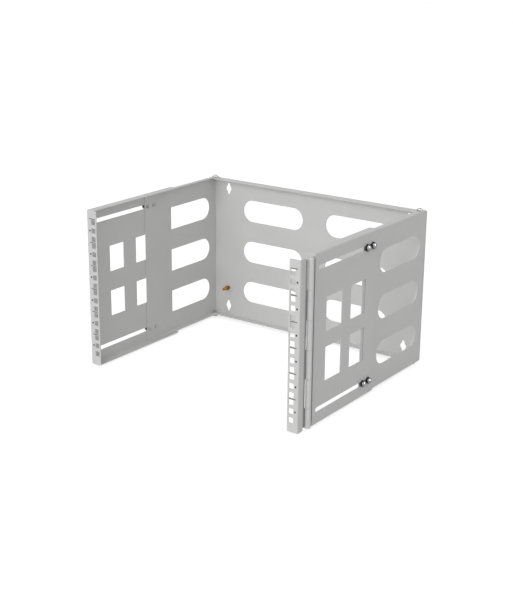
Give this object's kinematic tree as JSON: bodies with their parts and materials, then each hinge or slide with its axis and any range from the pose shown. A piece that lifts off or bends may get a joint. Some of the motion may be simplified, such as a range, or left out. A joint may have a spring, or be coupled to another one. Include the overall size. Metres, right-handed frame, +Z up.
{
  "type": "wall mount open frame rack",
  "caption": "Open wall rack for 19-inch equipment: slotted back plate, telescoping sides that fold in on pivots, and a post that swings out on a piano hinge.",
  "frame": {"origin": "centre of the back plate's wall face", "axes": "+Y towards the wall, +Z up, +X to the right as seen from the room"},
  "size_m": [0.5098, 0.4215, 0.305],
  "materials": {
    "light_grey_paint": "fine textured powder coat",
    "hinge_grey_paint": "smooth satin paint",
    "bright_nickel": "polished",
    "zinc_plate": "satin plating",
    "copper_plate": "copper plating"
  },
  "bodies": {
    "frame": {"back_plate": "light_grey_paint", "earth_stud": "copper_plate", "earth_nut": "copper_plate", "pivot_screw_left_upper": "bright_nickel", "pivot_screw_left_lower": "bright_nickel", "pivot_screw_right_upper": "bright_nickel", "pivot_screw_right_lower": "bright_nickel", "pivot_nut_left_upper": "zinc_plate", "pivot_nut_left_lower": "zinc_plate", "pivot_nut_right_upper": "zinc_plate", "pivot_nut_right_lower": "zinc_plate"},
    "left_rear": {"left_rear_panel": "light_grey_paint", "clamp_stud_left_upper_front": "zinc_plate", "clamp_stud_left_upper_rear": "zinc_plate", "clamp_stud_left_lower_front": "zinc_plate", "clamp_stud_left_lower_rear": "zinc_plate", "cap_nut_left_upper_front": "bright_nickel", "cap_nut_left_upper_rear": "bright_nickel", "cap_nut_left_lower_front": "bright_nickel", "cap_nut_left_lower_rear": "bright_nickel"},
    "left_front": {"left_front_panel": "light_grey_paint"},
    "right_rear": {"right_rear_panel": "light_grey_paint", "clamp_stud_right_upper_front": "zinc_plate", "clamp_stud_right_upper_rear": "zinc_plate", "clamp_stud_right_lower_front": "zinc_plate", "clamp_stud_right_lower_rear": "zinc_plate", "cap_nut_right_upper_front": "bright_nickel", "cap_nut_right_upper_rear": "bright_nickel", "cap_nut_right_lower_front": "bright_nickel", "cap_nut_right_lower_rear": "bright_nickel"},
    "right_front": {"right_front_panel": "light_grey_paint", "hinge_leaf_panel": "hinge_grey_paint", "hinge_pin": "zinc_plate"},
    "post": {"right_post": "light_grey_paint", "hinge_leaf_post": "hinge_grey_paint"}
  },
  "joints": [
    {"name": "left_fold", "type": "hinge", "parent": "frame", "child": "left_rear", "pos_m": [-0.236, -0.0125, 0], "axis": [0, 0, 1], "range_deg": [0, 85]},
    {"name": "left_depth", "type": "slide", "parent": "left_rear", "child": "left_front", "axis": [0, 1, 0], "range_m": [-0.04, 0.125]},
    {"name": "right_fold", "type": "hinge", "parent": "frame", "child": "right_rear", "pos_m": [0.236, -0.0125, 0], "axis": [0, 0, -1], "range_deg": [0, 45]},
    {"name": "right_depth", "type": "slide", "parent": "right_rear", "child": "right_front", "axis": [0, 1, 0], "range_m": [0, 0.147]},
    {"name": "right_post_swing", "type": "hinge", "parent": "right_front", "child": "post", "pos_m": [0.248, -0.394, 0], "axis": [0, 0, 1], "range_deg": [0, 135]}
  ]
}
